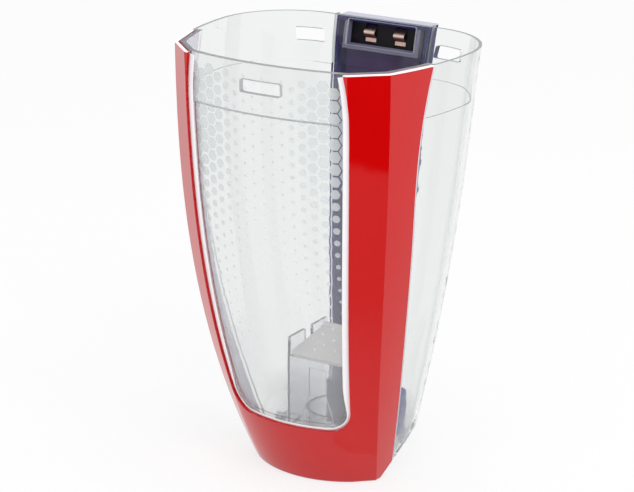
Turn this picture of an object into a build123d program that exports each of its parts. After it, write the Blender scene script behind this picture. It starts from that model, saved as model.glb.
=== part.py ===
import os
from math import atan2, cos, degrees, radians, sin, sqrt

from build123d import *

# Overall form: the rim is the widest section, the foot the narrowest (millimetres)
height = 214.0
rim_width = 140.0
rim_depth = 111.4
rim_crease_half = 59.0
rim_crease_setback = 19.0
rim_corner_radius = 38.0
rim_squareness = 4.2
foot_width = 75.0
foot_nose_setback = 31.7
foot_crease_half = 36.0
foot_crease_setback = 48.4
foot_corner_radius = 23.5
foot_squareness = 0.0
shoulder_share = 0.75
foot_back_setback = 92.4
foot_radius = 2.5
inner_foot_radius = 1.0
heel_setback = 2.0
heel_rise = 27.0
heel_turn = 20.0

# How fast each line runs in from the rim to the foot (exponent of the height fraction)
side_power = 1.8
crease_power = 2.2
nose_power = 2.85
back_power = 0.62
square_power = 0.75
section_levels = (0, 0.04, 0.12, 0.25, 0.42, 0.6, 0.78, 0.92, 1)
strip_levels = (0, 0.2, 0.4, 0.6, 0.8, 1)

# Walls and fits
cup_wall = 2.2
frame_wall = 2.6
fit_gap = 0.25
running_gap = 0.08

# Rim, collar and latch slots of the cup
rim_lip = 0.5
collar_height = 24.0
collar_relief = 2.0
collar_step = 0.6
latch_drop = 11.0
latch_height = 6.2
front_latch_width = 22.0
rear_latch_width = 13.5
rear_latch_angle = 41.5
latch_corner = 1.0

# Window of the front frame and the bead that borders it on the cup
window_sill = 31.8
window_foot_half = 33.0
window_waist_half = 42.0
window_waist = 120.0
window_shoulder_half = 44.6
window_shoulder_drop = 24.0
window_rim_half = 42.2
window_corner = 13.0
bead_width = 3.4
bead_relief = 2.2

# Side face of each frame post, behind its crease
post_width = 16.0
post_foot_width = 11.0
post_foot_power = 7.0
post_flare = 8.7
flare_height = 50.0

# Inlet tube in the base, its seal and the collar that carries both
inlet_radius = 13.5
inlet_wall = 1.8
inlet_height = 25.0
inlet_collar_radius = 18.5
seal_radius = 16.4
seal_lip_radius = 13.8
seal_height = 2.4

# Inlet hood
hood_wall = 1.6
hood_width = 37.0
hood_depth = 36.0
hood_setback = 5.2
hood_front_top = 54.5
hood_corner = 2.0
cheek_rise = 3.5
cheek_setback = 1.8
cheek_notch_length = 7.0
cheek_notch_floor = 57.0
cheek_ear = 13.6
panel_relief = 0.7
panel_top_half = 5.0
panel_foot_half = 14.0
panel_knee = 36.0
panel_sill = 12.0
panel_margin = 4.0

# Flap and its hinge pin
flap_wall = 1.6
flap_gap = 0.3
flap_side_gap = 0.5
flap_overhang = 0.4
flap_corner = 4.0
barrel_radius = 2.4
pin_radius = 1.2
hinge_height = 60.0
hinge_setback = 4.0

# Bosses and ears that hold the hood
boss_radius = 3.4
boss_offset = 8.5
boss_forward = 9.0
boss_height = 11.0
ear_wall = 2.0
screw_radius = 1.2
screw_head_radius = 2.5
screw_head_height = 1.6
screw_length = 7.0

# Contact rail on the flat back
rail_depth = 10.0
rail_wall = 1.8
rail_drop = 0.6
rail_half_top = 26.4
rail_half_foot = 17.4
rail_foot = 20.0
rail_round = 2.5
rib_wall = 1.2
rib_depth = 2.5
connector_half = 22.0
connector_foot = 4.0
connector_top = 27.0
connector_depth = 13.0
connector_round = 4.0
rail_screw_heights = (52.0, 112.0, 172.0)
rail_boss_radius = 3.2
screw_sink = 0.6

# Contact window, carrier and leaf contacts
contact_window_width = 39.0
contact_window_height = 12.6
contact_window_drop = 1.2
contact_window_corner = 1.0
contact_pitch = 16.8
contact_width = 6.0
contact_wall = 0.7
contact_height = 9.0
contact_bulge = 2.2
contact_pocket = 1.2
gasket_depth = 4.2
gasket_border = 2.0
carrier_border = 1.5
carrier_skirt = 23.5

# Busbars and the lower socket
busbar_width = 5.0
busbar_wall = 1.0
busbar_seat = 2.5
socket_half = 14.0
socket_depth = 7.0
socket_height = 14.0
socket_recess = 1.0
socket_setback = 3.0
socket_corner = 1.0
blade_width = 4.5
blade_wall = 0.8
blade_rise = 4.0
mouth_width = 5.6
mouth_depth = 3.0
mouth_height = 8.0


def taper(at_rim, at_foot, power, z):
    """Size at height z, on a power curve from its value at the rim to its value at the foot."""
    return at_rim + (at_foot - at_rim) * (1 - z / height) ** power


# Places worked out from the sizes above: rail head and collar nose are equally far from the origin
rail_top = height - rail_drop
rail_back = taper(rim_depth, foot_back_setback, back_power, rail_top) + rail_depth
front_y = -(collar_relief + rail_back) / 2
frame_top = height - rim_lip - fit_gap
cup_inset = frame_wall + fit_gap
floor = cup_inset + cup_wall
foot_back_y = front_y + foot_back_setback
hood_back = foot_back_y - hood_setback
hood_front = hood_back - hood_depth
inlet_y = (hood_front + hood_back) / 2
hinge_y = hood_back - hinge_setback
hood_cheek_top = hinge_height + cheek_rise
hood_back_top = hinge_height - barrel_radius - flap_gap
panel_top = hood_front_top - panel_margin
boss_top = floor + boss_height
boss_y = inlet_y - boss_forward
window_top = height - contact_window_drop
carrier_near = gasket_depth + fit_gap
carrier_far = rail_depth - rail_wall - fit_gap
busbar_near = (carrier_near + carrier_far) / 2
latch_z = height - latch_drop
socket_foot = connector_foot + socket_recess
socket_top = socket_foot + socket_height
socket_y = foot_back_y + socket_setback + socket_depth / 2
trough_foot = socket_top + rail_wall
blade_top = socket_top + blade_rise
busbar_low = blade_top + fit_gap
window_foot = window_top - contact_window_height
carrier_low = window_foot - carrier_skirt
carrier_high = rail_top - rail_wall - fit_gap
contact_z = (window_foot + carrier_high) / 2
busbar_high = window_foot + busbar_seat
rib_foot = connector_top + fit_gap
rail_boss_length = rail_depth - rail_wall - 2 * fit_gap


def crease_y(z):
    """Line of the frame's crease seen from the side."""
    return front_y + taper(rim_crease_setback, foot_crease_setback, nose_power, z)


def back_y(z):
    """Line of the flat back seen from the side."""
    return front_y + taper(rim_depth, foot_back_setback, back_power, z)


def post_back_y(z):
    """Rear edge of a frame post: a steady face that flares towards the rim and narrows at the foot."""
    flare = post_flare * max(0, 1 - (height - z) / flare_height) ** 2
    return crease_y(z) + taper(post_width, post_foot_width, post_foot_power, z) + flare


def bow(half, sagitta, x):
    """Setback at x of a circular arc that falls back by sagitta at its half width."""
    radius = (half**2 + sagitta**2) / (2 * sagitta)
    return radius - sqrt(radius**2 - x**2)


def skin_section(z, inset):
    """Cross-section of the body: bowed front, flat post faces, two creases, bowed sides, flat back."""
    crease_x = taper(rim_crease_half, foot_crease_half, crease_power, z)
    nose_y = front_y + taper(0, foot_nose_setback, nose_power, z)
    side_x = taper(rim_width, foot_width, side_power, z) / 2
    radius = taper(rim_corner_radius, foot_corner_radius, side_power, z)
    shoulder_x = shoulder_share * crease_x
    shoulder_y = nose_y + bow(crease_x, crease_y(z) - nose_y, shoulder_x)
    shoulder_y -= taper(rim_squareness, foot_squareness, square_power, z)
    with BuildSketch(Plane.XY.offset(z)) as section:
        with BuildLine():
            front = ThreePointArc((-shoulder_x, shoulder_y), (0, nose_y), (shoulder_x, shoulder_y))
            post = Line(front @ 1, (crease_x, crease_y(z)))
            side = TangentArc((side_x, back_y(z) - radius), (crease_x, crease_y(z)), tangent=(0, -1))
            corner = CenterArc((side_x - radius, back_y(z) - radius), radius, 0, 90)
            mirror([post, side, corner], about=Plane.YZ)
            Line((side_x - radius, back_y(z)), (radius - side_x, back_y(z)))
        make_face()
        if inset:
            offset(amount=-inset, kind=Kind.INTERSECTION, mode=Mode.REPLACE)
    return section.sketch


def heel_plane(side, inset):
    """Plane of the facet that cuts off the foot behind a crease, drawn in by inset."""
    rise, turn = radians(heel_rise), radians(heel_turn)
    start = (side * foot_crease_half, crease_y(0) + heel_setback, 0)
    outward = (side * sin(rise) * cos(turn), sin(rise) * sin(turn), -cos(rise) * sin(turn))
    return Plane(start, z_dir=outward).offset(-inset)


def skin(inset):
    """Solid inside the body's skin, drawn in by inset at the sides and at the base."""
    with BuildPart() as body:
        loft([skin_section(inset + level * (height - inset), inset) for level in section_levels])
        fillet(body.edges().group_by(Axis.Z)[0], max(foot_radius - inset, inner_foot_radius))
        for side in (-1, 1):
            split(bisect_by=heel_plane(side, inset), keep=Keep.BOTTOM)
    return body.part


def front_zone(shift, top):
    """Space in front of the posts' rear edges, moved back by shift, up to the height top."""
    levels = [level * top for level in section_levels]
    with BuildPart() as zone:
        with BuildSketch(Plane.YZ):
            with BuildLine():
                edge = Spline([(post_back_y(z) + shift, z) for z in levels])
                Polyline(edge @ 1, (front_y - height, top), (front_y - height, -height),
                         ((edge @ 0).X, -height), edge @ 0)
            make_face()
        extrude(amount=rim_width, both=True)
    return zone.part


def window_prism(shrink, low, high):
    """Prism behind the frame's window outline, drawn in by shrink, between two heights."""
    with BuildPart() as prism:
        with BuildSketch(Plane.XZ) as outline:
            with BuildLine():
                side = ThreePointArc(
                    (window_foot_half, window_sill),
                    (window_waist_half, window_waist),
                    (window_shoulder_half, height - window_shoulder_drop),
                )
                flare = TangentArc(side @ 1, (window_rim_half, height), tangent=side % 1)
                mirror([side, flare], about=Plane.YZ)
                Line((-window_foot_half, window_sill), (window_foot_half, window_sill))
                Line((-window_rim_half, height), (window_rim_half, height))
            make_face()
            fillet(outline.vertices().group_by(Axis.Y)[0], window_corner)
            if shrink:
                offset(amount=-shrink, kind=Kind.INTERSECTION, mode=Mode.REPLACE)
            with Locations((0, (low + high) / 2)):
                Rectangle(rim_width, high - low, mode=Mode.INTERSECT)
        extrude(amount=rim_depth)
    return prism.part


def back_strip(near, far, low, high):
    """Slab that follows the flat back from near to far behind it, between two heights."""
    levels = [low + level * (high - low) for level in strip_levels]
    with BuildPart() as strip:
        with BuildSketch(Plane.YZ):
            with BuildLine():
                inner = Spline([(back_y(z) + near, z) for z in levels])
                outer = Spline([(back_y(z) + far, z) for z in levels])
                Line(inner @ 0, outer @ 0)
                Line(inner @ 1, outer @ 1)
            make_face()
        extrude(amount=rim_width / 2, both=True)
    return strip.part


def back_prism(half_low, half_high, low, high):
    """Prism through the back, of a straight-sided outline that is symmetric about the middle."""
    with BuildPart() as prism:
        with BuildSketch(Plane.XZ):
            with BuildLine():
                Polyline(
                    (-half_low, low), (half_low, low), (half_high, high), (-half_high, high), close=True
                )
            make_face()
        extrude(amount=-rim_depth)
    return prism.part


def rail_half(z):
    """Half width of the rail at height z."""
    share = (z - rail_foot) / (rail_top - rail_foot)
    return rail_half_foot + share * (rail_half_top - rail_half_foot)


def screw_seat_y(z):
    """Face under the head of a rail screw at height z."""
    return back_y(z) + rail_depth - screw_sink


def save(part, name):
    """Name a finished piece and write it out."""
    part.label = name
    export_step(part, f"parts/{name}.step")


os.makedirs("parts", exist_ok=True)

body_skin = skin(0)
frame_inner_skin = skin(frame_wall)
cup_front_skin = skin(cup_inset)
side_bore_skin = skin(cup_wall)
front_bore_skin = skin(floor)
collar_skin = skin(collar_relief)
collar_bore_skin = skin(cup_wall - collar_step)
bead_skin = skin(bead_relief)
clear_skin = skin(-fit_gap)

# Red frame: two creased posts and the bottom band, cut from the body's skin
frame_zone = front_zone(0, frame_top)
frame_window = window_prism(0, window_sill, height)
with BuildPart() as front_frame:
    add(body_skin)
    add(frame_inner_skin, mode=Mode.SUBTRACT)
    add(frame_zone, mode=Mode.INTERSECT)
    add(frame_window, mode=Mode.SUBTRACT)
    with BuildSketch(Plane.XY):
        with Locations((0, inlet_y)):
            Circle(inlet_collar_radius + fit_gap)
    extrude(amount=floor, mode=Mode.SUBTRACT)
save(front_frame.part, "front_frame")

# Clear cup: full skin at the sides and back, stepped in under the frame, with collar and bead in front
seat_zone = front_zone(fit_gap, height - rim_lip)
bore_zone = front_zone(fit_gap + cup_wall, height)
collar_block = window_prism(fit_gap, height - collar_height, height)
bead_outer = window_prism(fit_gap, window_sill, height - collar_height)
bead_inner = window_prism(fit_gap + bead_width, window_sill, height)
with BuildPart() as collar:
    add(collar_block)
    add(collar_skin, mode=Mode.INTERSECT)
with BuildPart() as bead:
    add(bead_outer)
    add(bead_inner, mode=Mode.SUBTRACT)
    add(bead_skin, mode=Mode.INTERSECT)
with BuildPart() as lip_relief:
    add(window_prism(0, height - rim_lip, height))
    add(collar_skin, mode=Mode.SUBTRACT)
with BuildPart() as side_bore:
    add(side_bore_skin)
    add(bore_zone, mode=Mode.SUBTRACT)
    split(bisect_by=Plane.XY.offset(floor))
with BuildPart() as collar_bore:
    add(collar_bore_skin)
    add(bore_zone, mode=Mode.SUBTRACT)
    split(bisect_by=Plane.XY.offset(height - collar_height))
rib_inner_low = rail_half(rib_foot) + fit_gap
rib_inner_high = rail_half(height) + fit_gap
rib_inner = back_prism(rib_inner_low, rib_inner_high, rib_foot, height)
rib_outer = back_prism(rib_inner_low + rib_wall, rib_inner_high + rib_wall, rib_foot, height)
rib_strip = back_strip(-cup_wall / 2, rib_depth, rib_foot, height)
with BuildPart() as rail_ribs:
    add(rib_strip)
    add(rib_outer, mode=Mode.INTERSECT)
    add(rib_inner, mode=Mode.SUBTRACT)

with BuildPart() as dust_cup:
    add(body_skin)
    add(seat_zone, mode=Mode.SUBTRACT)
    add(lip_relief.part, mode=Mode.SUBTRACT)
    add(cup_front_skin)
    add(collar.part)
    add(bead.part)
    add(front_bore_skin, mode=Mode.SUBTRACT)
    add(side_bore.part, mode=Mode.SUBTRACT)
    add(collar_bore.part, mode=Mode.SUBTRACT)
    add(rail_ribs.part)
    # Inlet tube with its collar, bored from below
    with BuildSketch(Plane.XY):
        with Locations((0, inlet_y)):
            Circle(inlet_collar_radius)
    extrude(amount=floor)
    with BuildSketch(Plane.XY):
        with Locations((0, inlet_y)):
            Circle(inlet_radius + inlet_wall)
    extrude(amount=inlet_height)
    with BuildSketch(Plane.XY):
        with Locations((0, inlet_y)):
            Circle(inlet_radius)
    extrude(amount=inlet_height, mode=Mode.SUBTRACT)
    with BuildSketch(Plane.XY):
        with Locations((0, inlet_y)):
            Circle(seal_radius + fit_gap)
    extrude(amount=seal_height + fit_gap, mode=Mode.SUBTRACT)
    # Bosses for the hood's screws
    with BuildSketch(Plane.XY.offset(floor)):
        with Locations((-hood_width / 2 - boss_offset, boss_y), (hood_width / 2 + boss_offset, boss_y)):
            Circle(boss_radius)
            Circle(screw_radius + running_gap, mode=Mode.SUBTRACT)
    extrude(amount=boss_height)
    # Bosses for the rail's screws
    for z in rail_screw_heights:
        with BuildSketch(Plane.XZ.offset(-back_y(z) + cup_wall / 2)):
            with Locations((0, z)):
                Circle(rail_boss_radius)
        extrude(amount=-(rail_boss_length + cup_wall / 2))
        with BuildSketch(Plane.XZ.offset(-back_y(z))):
            with Locations((0, z)):
                Circle(screw_radius + running_gap)
        extrude(amount=-rail_depth, mode=Mode.SUBTRACT)
    # Latch slots in the collar and the window for the contacts
    with BuildSketch(Plane.XZ):
        with Locations((0, latch_z)):
            RectangleRounded(front_latch_width, latch_height, latch_corner)
    extrude(amount=rim_depth, mode=Mode.SUBTRACT)
    for turn in (-rear_latch_angle, rear_latch_angle):
        with BuildSketch(Plane.XZ.rotated((0, 0, turn))):
            with Locations((0, latch_z)):
                RectangleRounded(rear_latch_width, latch_height, latch_corner)
        extrude(amount=-rim_depth, mode=Mode.SUBTRACT)
    with BuildSketch(Plane.XZ):
        with Locations((0, window_top - contact_window_height / 2)):
            RectangleRounded(contact_window_width, contact_window_height, contact_window_corner)
    extrude(amount=-rim_depth, mode=Mode.SUBTRACT)
save(dust_cup.part, "dust_cup")

# Clear hood over the inlet: a chute with a recessed front panel and two eared cheeks
with BuildPart() as inlet_hood:
    with BuildSketch(Plane.XY.offset(floor)):
        with Locations((0, inlet_y)):
            RectangleRounded(hood_width, hood_depth, hood_corner)
            Rectangle(hood_width - 2 * hood_wall, hood_depth - 2 * hood_wall, mode=Mode.SUBTRACT)
    extrude(amount=hood_cheek_top - floor)
    # Front wall, notch and back wall cut down to their own heights
    with BuildSketch(Plane.YZ):
        with Locations((hood_front + cheek_setback / 2, (hood_front_top + hood_cheek_top) / 2)):
            Rectangle(cheek_setback, hood_cheek_top - hood_front_top)
        notch_y = hood_back - cheek_ear - cheek_notch_length / 2
        with Locations((notch_y, (cheek_notch_floor + hood_cheek_top) / 2)):
            Rectangle(cheek_notch_length, hood_cheek_top - cheek_notch_floor)
    extrude(amount=hood_width, both=True, mode=Mode.SUBTRACT)
    with BuildSketch(Plane.XZ.offset(-hood_back)):
        with Locations((0, (hood_back_top + hood_cheek_top) / 2)):
            Rectangle(hood_width - 2 * hood_wall, hood_cheek_top - hood_back_top)
    extrude(amount=hood_wall, mode=Mode.SUBTRACT)
    # Recessed panel in the front wall, narrow above and spread towards the foot
    with BuildSketch(Plane.XZ.offset(-hood_front)):
        with BuildLine():
            Polyline(
                (-panel_foot_half, panel_sill), (panel_foot_half, panel_sill), (panel_top_half, panel_knee),
                (panel_top_half, panel_top), (-panel_top_half, panel_top), (-panel_top_half, panel_knee),
                close=True,
            )
        make_face()
    extrude(amount=-panel_relief, mode=Mode.SUBTRACT)
    # Screw ears on the bosses
    for side in (-1, 1):
        boss_x = side * (hood_width / 2 + boss_offset)
        ear_length = boss_offset + hood_wall / 2
        with BuildSketch(Plane.XY.offset(boss_top)):
            with Locations((boss_x, boss_y)):
                Circle(boss_radius)
            with Locations((boss_x - side * ear_length / 2, boss_y)):
                Rectangle(ear_length, 2 * boss_radius)
            with Locations((boss_x, boss_y)):
                Circle(screw_radius + running_gap, mode=Mode.SUBTRACT)
        extrude(amount=ear_wall)
    # Holes for the flap's pin
    with BuildSketch(Plane.YZ):
        with Locations((hinge_y, hinge_height)):
            Circle(pin_radius + running_gap)
    extrude(amount=hood_width, both=True, mode=Mode.SUBTRACT)
save(inlet_hood.part, "inlet_hood")

# Flap: a tilted plate that lies over the chute, with a barrel on the hinge pin
flap_half = hood_width / 2 - hood_wall - flap_side_gap
flap_run = hinge_y - hood_front
flap_fall = hinge_height - (hood_front_top + flap_gap + flap_wall / 2)
flap_tilt = degrees(atan2(flap_fall, flap_run))
flap_plane = Plane((0, hinge_y, hinge_height)).rotated((flap_tilt, 0, 0))
flap_length = (flap_run**2 + flap_fall**2) ** 0.5 + flap_overhang
with BuildPart() as inlet_flap:
    with BuildSketch(flap_plane) as plate:
        with Locations((0, -flap_length / 2)):
            Rectangle(2 * flap_half, flap_length)
        fillet(plate.vertices().group_by(Axis.Y)[0], flap_corner)
    extrude(amount=flap_wall / 2, both=True)
    with BuildSketch(Plane.YZ):
        with Locations((hinge_y, hinge_height)):
            Circle(barrel_radius)
    extrude(amount=flap_half, both=True)
    with BuildSketch(Plane.YZ):
        with Locations((hinge_y, hinge_height)):
            Circle(pin_radius + running_gap)
    extrude(amount=hood_width, both=True, mode=Mode.SUBTRACT)
save(inlet_flap.part, "inlet_flap")

with BuildPart() as flap_pin:
    with BuildSketch(Plane.YZ):
        with Locations((hinge_y, hinge_height)):
            Circle(pin_radius)
    extrude(amount=hood_width / 2, both=True)
save(flap_pin.part, "flap_pin")

# Screws of the hood: pan heads on the ears, shanks down into the bosses
with BuildPart() as hood_screws:
    with BuildSketch(Plane.XY.offset(boss_top + ear_wall)):
        with Locations((-hood_width / 2 - boss_offset, boss_y), (hood_width / 2 + boss_offset, boss_y)):
            Circle(screw_head_radius)
    extrude(amount=screw_head_height)
    fillet(hood_screws.edges().group_by(Axis.Z)[-1], screw_head_height / 2)
    with BuildSketch(Plane.XY.offset(boss_top + ear_wall)):
        with Locations((-hood_width / 2 - boss_offset, boss_y), (hood_width / 2 + boss_offset, boss_y)):
            Circle(screw_radius)
    extrude(amount=-screw_length)
save(hood_screws.part, "hood_screws")

# Rubber seal in the mouth of the inlet
with BuildPart() as inlet_seal:
    with BuildSketch(Plane.XY.offset(fit_gap)):
        with Locations((0, inlet_y)):
            Circle(seal_radius)
            Circle(seal_lip_radius, mode=Mode.SUBTRACT)
    extrude(amount=seal_height)
save(inlet_seal.part, "inlet_seal")

# Dark trunking on the flat back, open towards the cup, with the connector block at its foot
rail_outline = back_prism(rail_half(rail_foot), rail_half_top, rail_foot, rail_top)
rail_trough = back_prism(
    rail_half(trough_foot) - rail_wall, rail_half_top - rail_wall, trough_foot, rail_top - rail_wall
)
with BuildPart() as trough:
    add(back_strip(-rail_depth, rail_depth - rail_wall, trough_foot, rail_top))
    add(rail_trough, mode=Mode.INTERSECT)
with BuildPart() as connector:
    with BuildSketch(Plane.XY.offset(connector_foot)):
        with Locations((0, foot_back_y + connector_depth / 2)):
            RectangleRounded(2 * connector_half, connector_depth, connector_round)
    extrude(amount=connector_top - connector_foot)
    fillet(connector.edges().group_by(Axis.Z)[-1].sort_by(Axis.Y)[-1], connector_round / 2)
with BuildPart() as rail_housing:
    add(back_strip(-cup_wall, rail_depth, rail_foot, rail_top))
    add(rail_outline, mode=Mode.INTERSECT)
    fillet(rail_housing.edges().filter_by(lambda e: e.length > height / 2).sort_by(Axis.Y)[-2:], rail_round)
    add(connector.part)
    add(trough.part, mode=Mode.SUBTRACT)
    add(clear_skin, mode=Mode.SUBTRACT)
    # Socket cavity, open below
    with BuildSketch(Plane.XY.offset(connector_foot)):
        with Locations((0, socket_y)):
            Rectangle(2 * (socket_half + fit_gap), socket_depth + 2 * fit_gap)
    extrude(amount=busbar_low - connector_foot, mode=Mode.SUBTRACT)
    # Screw holes through the back
    for z in rail_screw_heights:
        with BuildSketch(Plane.XZ.offset(-back_y(z))):
            with Locations((0, z)):
                Circle(screw_radius + running_gap)
        extrude(amount=-rail_depth, mode=Mode.SUBTRACT)
        with BuildSketch(Plane.XZ.offset(-screw_seat_y(z))):
            with Locations((0, z)):
                Circle(screw_head_radius + fit_gap)
        extrude(amount=-rail_depth, mode=Mode.SUBTRACT)
save(rail_housing.part, "rail_housing")

# Screws of the rail: heads sunk into the trunking's back, shanks into the cup's bosses
with BuildPart() as rail_screws:
    for z in rail_screw_heights:
        with BuildSketch(Plane.XZ.offset(-screw_seat_y(z))):
            with Locations((0, z)):
                Circle(screw_head_radius)
        extrude(amount=-screw_head_height)
        with BuildSketch(Plane.XZ.offset(-screw_seat_y(z))):
            with Locations((0, z)):
                Circle(screw_radius)
        extrude(amount=screw_length)
save(rail_screws.part, "rail_screws")

# Black carrier of the leaf contacts, in the head of the trunking
carrier_half = contact_window_width / 2 + carrier_border
carrier_strip = back_strip(carrier_near, carrier_far, carrier_low, carrier_high)
carrier_outline = back_prism(carrier_half, carrier_half, carrier_low, carrier_high)
pocket_half_height = contact_height / 2 + fit_gap
pocket_strip = back_strip(
    0, carrier_near + contact_pocket, contact_z - pocket_half_height, contact_z + pocket_half_height
)
busbar_slot = back_strip(
    busbar_near - fit_gap, busbar_near + busbar_wall + fit_gap,
    carrier_low, busbar_high + fit_gap,
)
pocket_outline = back_prism(contact_width / 2 + fit_gap, contact_width / 2 + fit_gap, 0, height)
busbar_slot_half = busbar_width / 2 + fit_gap
busbar_slot_outline = back_prism(busbar_slot_half, busbar_slot_half, 0, height)
with BuildPart() as contact_pockets:
    add(pocket_strip)
    add(pocket_outline, mode=Mode.INTERSECT)
with BuildPart() as busbar_slots:
    add(busbar_slot)
    add(busbar_slot_outline, mode=Mode.INTERSECT)
with BuildPart() as contact_block:
    add(carrier_strip)
    add(carrier_outline, mode=Mode.INTERSECT)
    with Locations((-contact_pitch / 2, 0, 0), (contact_pitch / 2, 0, 0)):
        add(contact_pockets.part, mode=Mode.SUBTRACT)
        add(busbar_slots.part, mode=Mode.SUBTRACT)
save(contact_block.part, "contact_block")

# Rubber gasket round three sides of the contact window
gasket_half = contact_window_width / 2 + gasket_border
gasket_strip = back_strip(0, gasket_depth, window_foot - gasket_border, carrier_high)
gasket_outline = back_prism(gasket_half, gasket_half, 0, height)
gasket_opening = back_prism(contact_window_width / 2, contact_window_width / 2, window_foot, height)
with BuildPart() as contact_gasket:
    add(gasket_strip)
    add(gasket_outline, mode=Mode.INTERSECT)
    add(gasket_opening, mode=Mode.SUBTRACT)
    add(clear_skin, mode=Mode.SUBTRACT)
save(contact_gasket.part, "contact_gasket")


def leaf_point(out, up):
    """Point of a leaf contact: out in front of the carrier's face, up from the contact's middle."""
    z = contact_z + up
    return (back_y(z) + carrier_near - out, z)


# Copper leaf contacts: seated in the pocket, bulging out through the window, folded back at the top
leaf_seat = contact_wall / 2 + running_gap - contact_pocket
leaf_end = contact_height / 2 - contact_wall / 2
for side, name in ((-1, "upper_contact_left"), (1, "upper_contact_right")):
    with BuildPart() as leaf:
        with BuildSketch(Plane.YZ.offset(side * contact_pitch / 2)):
            with BuildLine():
                FilletPolyline(
                    leaf_point(leaf_seat, -leaf_end), leaf_point(leaf_seat, -leaf_end / 2),
                    leaf_point(contact_bulge, leaf_end / 6), leaf_point(leaf_seat, leaf_end),
                    radius=contact_wall,
                )
            trace(line_width=contact_wall)
        extrude(amount=contact_width / 2, both=True)
    save(leaf.part, name)

# Copper busbars from the carrier down to the socket's blades
busbar_strip = back_strip(busbar_near, busbar_near + busbar_wall, busbar_low, busbar_high)
busbar_outline = back_prism(busbar_width / 2, busbar_width / 2, 0, height)
with BuildPart() as busbar:
    add(busbar_strip)
    add(busbar_outline, mode=Mode.INTERSECT)
for side, name in ((-1, "busbar_left"), (1, "busbar_right")):
    with BuildPart() as placed_busbar:
        with Locations((side * contact_pitch / 2, 0, 0)):
            add(busbar.part)
    save(placed_busbar.part, name)

# Black socket insert at the foot of the rail, with a mouth and a slot for each blade
socket_places = [(side * contact_pitch / 2, socket_y) for side in (-1, 1)]
with BuildPart() as lower_contact_block:
    with BuildSketch(Plane.XY.offset(socket_foot)):
        with Locations((0, socket_y)):
            RectangleRounded(2 * socket_half, socket_depth, socket_corner)
    extrude(amount=socket_height)
    with BuildSketch(Plane.XY.offset(socket_foot)):
        with Locations(socket_places):
            Rectangle(mouth_width, mouth_depth)
    extrude(amount=mouth_height, mode=Mode.SUBTRACT)
    with BuildSketch(Plane.XY.offset(socket_foot)):
        with Locations(socket_places):
            Rectangle(blade_width + 2 * running_gap, blade_wall + 2 * running_gap)
    extrude(amount=socket_height, mode=Mode.SUBTRACT)
save(lower_contact_block.part, "lower_contact_block")

# Copper blades of the socket
for side, name in ((-1, "lower_contact_left"), (1, "lower_contact_right")):
    with BuildPart() as blade:
        with BuildSketch(Plane.XY.offset(socket_foot + socket_recess)):
            with Locations((side * contact_pitch / 2, socket_y)):
                Rectangle(blade_width, blade_wall)
        extrude(amount=blade_top - socket_foot - socket_recess)
    save(blade.part, name)
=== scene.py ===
import math
from functools import reduce

import bpy
import numpy as np
from bpy.props import FloatProperty, PointerProperty
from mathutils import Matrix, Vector


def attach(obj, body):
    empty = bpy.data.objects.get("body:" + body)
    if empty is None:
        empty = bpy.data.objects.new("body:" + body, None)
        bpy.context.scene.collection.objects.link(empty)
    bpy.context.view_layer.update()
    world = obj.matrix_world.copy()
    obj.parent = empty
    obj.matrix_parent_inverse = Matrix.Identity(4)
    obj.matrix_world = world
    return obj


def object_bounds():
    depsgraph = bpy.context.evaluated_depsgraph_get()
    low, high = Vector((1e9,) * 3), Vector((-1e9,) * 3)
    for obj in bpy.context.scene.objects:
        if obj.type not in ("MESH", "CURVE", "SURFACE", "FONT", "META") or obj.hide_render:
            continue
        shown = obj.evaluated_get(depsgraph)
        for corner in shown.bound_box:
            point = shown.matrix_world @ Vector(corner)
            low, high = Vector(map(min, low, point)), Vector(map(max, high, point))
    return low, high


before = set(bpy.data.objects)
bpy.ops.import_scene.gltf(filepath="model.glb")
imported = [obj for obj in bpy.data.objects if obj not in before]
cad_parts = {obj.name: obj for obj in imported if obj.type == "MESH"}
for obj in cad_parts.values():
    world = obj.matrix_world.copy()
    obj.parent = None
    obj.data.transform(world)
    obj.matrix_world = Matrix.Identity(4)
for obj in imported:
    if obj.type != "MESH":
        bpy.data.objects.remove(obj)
cad_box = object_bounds()

bl_info = {
    "name": "Clear Dust Bin",
    "version": (1, 0, 0),
    "blender": (4, 5, 0),
    "location": "View3D > Sidebar > Dust Bin",
    "description": "Finishes, window print and studio of a clear dust bin with a red front frame",
    "category": "Object",
}

MM = 0.001

# The body's front: bowed between two shoulders, flat from there to two creases; each line follows a power
# curve from the rim to the foot (mm)
RIM_CREASE_HALF = 59.0
RIM_CREASE_SETBACK = 19.0
RIM_SQUARENESS = 4.2
FOOT_NOSE_SETBACK = 31.7
FOOT_CREASE_HALF = 36.0
FOOT_CREASE_SETBACK = 48.4
SHOULDER_SHARE = 0.75
CREASE_POWER = 2.2
NOSE_POWER = 2.85
SQUARE_POWER = 0.75

# Clear cup: its walls and collar (mm)
CUP_INNER_INSET = 5.05
COLLAR_RELIEF = 2.0
COLLAR_HEIGHT = 24.0
COLLAR_FLAT_HALF = 50.0
# The next height is that of the grey line painted along the collar's lower front edge, as shade of its step
COLLAR_SHADE_LINE = 0.55
RIM_EDGE = 0.5
LIP_WIDTH = 1.5
POST_REAR_HALF = 66.8
POST_REAR_SETBACK = 43.7
BEAD_FACE = 2.0
BEAD_GAP = 0.3

# Reach of the frosted bosses and of the highlight painted on the rail's top face (mm), share of haze on the
# heel
BOSS_RADIUS = 3.6
SCREW_HEAD_RADIUS = 2.5
TOP_HIGHLIGHT_REACH = 4.0
HEEL_HAZE = 0.5

# The window's outline in front view: half widths at its sill, waist, shoulder and rim (mm)
WINDOW_SILL = 31.8
WINDOW_FOOT_HALF = 33.0
WINDOW_WAIST = 120.0
WINDOW_WAIST_HALF = 42.0
WINDOW_SHOULDER_DROP = 24.0
WINDOW_SHOULDER_HALF = 44.6
WINDOW_RIM_HALF = 42.2
WINDOW_CORNER = 13.0


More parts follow.
